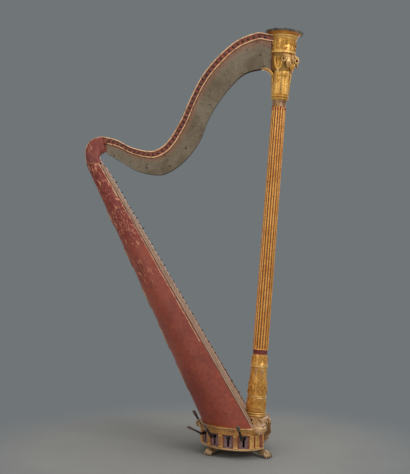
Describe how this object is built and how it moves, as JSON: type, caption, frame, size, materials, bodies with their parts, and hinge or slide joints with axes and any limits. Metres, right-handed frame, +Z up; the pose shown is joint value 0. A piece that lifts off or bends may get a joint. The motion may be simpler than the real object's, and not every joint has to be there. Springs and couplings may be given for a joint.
{
  "type": "pedal harp",
  "caption": "Tall single-action pedal harp without strings, on paw feet: tapered sound box, curved neck with tuning pins, fluted leaning column and folding pedals.",
  "frame": {"origin": "on the floor, under the middle of the whole harp's box", "axes": "+Z up, +X from the player's side towards the column, -Y is the player's right"},
  "size_m": [0.8901, 0.4704, 1.704],
  "materials": {
    "red_paint": "red oil paint over wood, worn, satin",
    "old_gilding": "old water gilding over red bole, rubbed",
    "pale_gilding": "pale worn gilding on carved wood and composition",
    "plate_metal": "brass plates gone grey brown",
    "iron": "dark forged iron",
    "spruce": "aged unpainted wood",
    "beech": "plain wood inside"
  },
  "bodies": {
    "frame": {"action_plate_left": "plate_metal", "action_plate_right": "plate_metal", "base_deck": "beech", "base_floor": "pale_gilding", "base_frieze": "old_gilding", "body_rib_1": "beech", "body_rib_2": "beech", "body_rib_3": "beech", "body_shell": "red_paint", "capital_bell": "old_gilding", "capital_frieze": "old_gilding", "capital_heads": "old_gilding", "column_base": "old_gilding", "column_mantle": "pale_gilding", "column_shaft": "old_gilding", "crown": "old_gilding", "edge_binding_left": "spruce", "edge_binding_right": "spruce", "front_console": "old_gilding", "neck": "red_paint", "paw_front_left": "pale_gilding", "paw_front_right": "pale_gilding", "paw_rear_left": "pale_gilding", "paw_rear_right": "pale_gilding", "pedal_bearing": "iron", "pedal_box_wall": "red_paint", "rod_guide_high": "beech", "rod_guide_low": "beech", "shoulder_block": "red_paint", "slot_plate_left_1": "pale_gilding", "slot_plate_left_2": "pale_gilding", "slot_plate_left_3": "pale_gilding", "slot_plate_right_1": "pale_gilding", "slot_plate_right_2": "pale_gilding", "slot_plate_right_3": "pale_gilding", "slot_plate_right_4": "pale_gilding", "soundboard": "spruce", "string_bar": "spruce"},
    "pedal_right_1": {"pedal_arm_right_1": "iron"},
    "rod_right_1": {"pedal_rod_right_1": "iron"},
    "tip_right_1": {"pedal_tip_right_1": "iron"},
    "pedal_right_2": {"pedal_arm_right_2": "iron"},
    "rod_right_2": {"pedal_rod_right_2": "iron"},
    "tip_right_2": {"pedal_tip_right_2": "iron"},
    "pedal_right_3": {"pedal_arm_right_3": "iron"},
    "rod_right_3": {"pedal_rod_right_3": "iron"},
    "pedal_right_4": {"pedal_arm_right_4": "iron"},
    "rod_right_4": {"pedal_rod_right_4": "iron"},
    "tip_right_4": {"pedal_tip_right_4": "iron"},
    "pedal_left_1": {"pedal_arm_left_1": "iron"},
    "rod_left_1": {"pedal_rod_left_1": "iron"},
    "tip_left_1": {"pedal_tip_left_1": "iron"},
    "pedal_left_2": {"pedal_arm_left_2": "iron"},
    "rod_left_2": {"pedal_rod_left_2": "iron"},
    "tip_left_2": {"pedal_tip_left_2": "iron"},
    "pedal_left_3": {"pedal_arm_left_3": "iron"},
    "rod_left_3": {"pedal_rod_left_3": "iron"},
    "tip_left_3": {"pedal_tip_left_3": "iron"}
  },
  "joints": [
    {"name": "press_right_1", "type": "hinge", "parent": "frame", "child": "pedal_right_1", "pos_m": [0.1746, -0.02595, 0.082], "axis": [0.3555, -0.9347, 0], "range_deg": [0, 10], "stiffness_Nm_per_rad": 3, "springref_deg": -22.92},
    {"name": "lift_right_1", "type": "slide", "parent": "frame", "child": "rod_right_1", "axis": [0.0761, 0, 0.9971], "range_m": [0, 0.0105]},
    {"name": "fold_right_1", "type": "hinge", "parent": "pedal_right_1", "child": "tip_right_1", "pos_m": [0.0261, -0.08535, 0.082], "axis": [-0.5299, 0.848, 0], "range_deg": [0, 56]},
    {"name": "press_right_2", "type": "hinge", "parent": "frame", "child": "pedal_right_2", "pos_m": [0.18657, -0.04651, 0.082], "axis": [0.6371, -0.7708, 0], "range_deg": [0, 10], "stiffness_Nm_per_rad": 3, "springref_deg": -22.92},
    {"name": "lift_right_2", "type": "slide", "parent": "frame", "child": "rod_right_2", "axis": [0.0761, 0, 0.9971], "range_m": [0, 0.0105]},
    {"name": "fold_right_2", "type": "hinge", "parent": "pedal_right_2", "child": "tip_right_2", "pos_m": [0.06623, -0.148, 0.082], "axis": [-0.7193, 0.6947, 0], "range_deg": [-26, 41]},
    {"name": "press_right_3", "type": "hinge", "parent": "frame", "child": "pedal_right_3", "pos_m": [0.20325, -0.06134, 0.082], "axis": [0.8403, -0.5422, 0], "range_deg": [0, 10], "stiffness_Nm_per_rad": 3, "springref_deg": -22.92},
    {"name": "lift_right_3", "type": "slide", "parent": "frame", "child": "rod_right_3", "axis": [0.0761, 0, 0.9971], "range_m": [0, 0.0105]},
    {"name": "press_right_4", "type": "hinge", "parent": "frame", "child": "pedal_right_4", "pos_m": [0.22376, -0.07047, 0.082], "axis": [0.9653, -0.2612, 0], "range_deg": [0, 10], "stiffness_Nm_per_rad": 3, "springref_deg": -22.92},
    {"name": "lift_right_4", "type": "slide", "parent": "frame", "child": "rod_right_4", "axis": [0.0761, 0, 0.9971], "range_m": [0, 0.0105]},
    {"name": "fold_right_4", "type": "hinge", "parent": "pedal_right_4", "child": "tip_right_4", "pos_m": [0.18391, -0.20401, 0.082], "axis": [-0.866, 0.5, 0], "range_deg": [-30, 37]},
    {"name": "press_left_1", "type": "hinge", "parent": "frame", "child": "pedal_left_1", "pos_m": [0.1746, 0.02595, 0.082], "axis": [-0.3555, -0.9347, 0], "range_deg": [0, 10], "stiffness_Nm_per_rad": 3, "springref_deg": -22.92},
    {"name": "lift_left_1", "type": "slide", "parent": "frame", "child": "rod_left_1", "axis": [0.0761, 0, 0.9971], "range_m": [0, 0.0105]},
    {"name": "fold_left_1", "type": "hinge", "parent": "pedal_left_1", "child": "tip_left_1", "pos_m": [0.02694, 0.08654, 0.082], "axis": [0.6157, 0.788, 0], "range_deg": [-24, 32]},
    {"name": "press_left_2", "type": "hinge", "parent": "frame", "child": "pedal_left_2", "pos_m": [0.18657, 0.04651, 0.082], "axis": [-0.6371, -0.7708, 0], "range_deg": [0, 10], "stiffness_Nm_per_rad": 3, "springref_deg": -22.92},
    {"name": "lift_left_2", "type": "slide", "parent": "frame", "child": "rod_left_2", "axis": [0.0761, 0, 0.9971], "range_m": [0, 0.0105]},
    {"name": "fold_left_2", "type": "hinge", "parent": "pedal_left_2", "child": "tip_left_2", "pos_m": [0.06623, 0.148, 0.082], "axis": [0.7193, 0.6947, 0], "range_deg": [-26, 41]},
    {"name": "press_left_3", "type": "hinge", "parent": "frame", "child": "pedal_left_3", "pos_m": [0.20325, 0.06134, 0.082], "axis": [-0.8403, -0.5422, 0], "range_deg": [0, 10], "stiffness_Nm_per_rad": 3, "springref_deg": -22.92},
    {"name": "lift_left_3", "type": "slide", "parent": "frame", "child": "rod_left_3", "axis": [0.0761, 0, 0.9971], "range_m": [0, 0.0105]},
    {"name": "fold_left_3", "type": "hinge", "parent": "pedal_left_3", "child": "tip_left_3", "pos_m": [0.12061, 0.18799, 0.082], "axis": [0.809, 0.5878, 0], "range_deg": [-26, 41]}
  ],
  "couplings": [
    {"joint": "lift_right_1", "follows": "press_right_1", "m_per_rad": 0.055},
    {"joint": "lift_right_2", "follows": "press_right_2", "m_per_rad": 0.055},
    {"joint": "lift_right_3", "follows": "press_right_3", "m_per_rad": 0.055},
    {"joint": "lift_right_4", "follows": "press_right_4", "m_per_rad": 0.055},
    {"joint": "lift_left_1", "follows": "press_left_1", "m_per_rad": 0.055},
    {"joint": "lift_left_2", "follows": "press_left_2", "m_per_rad": 0.055},
    {"joint": "lift_left_3", "follows": "press_left_3", "m_per_rad": 0.055}
  ]
}
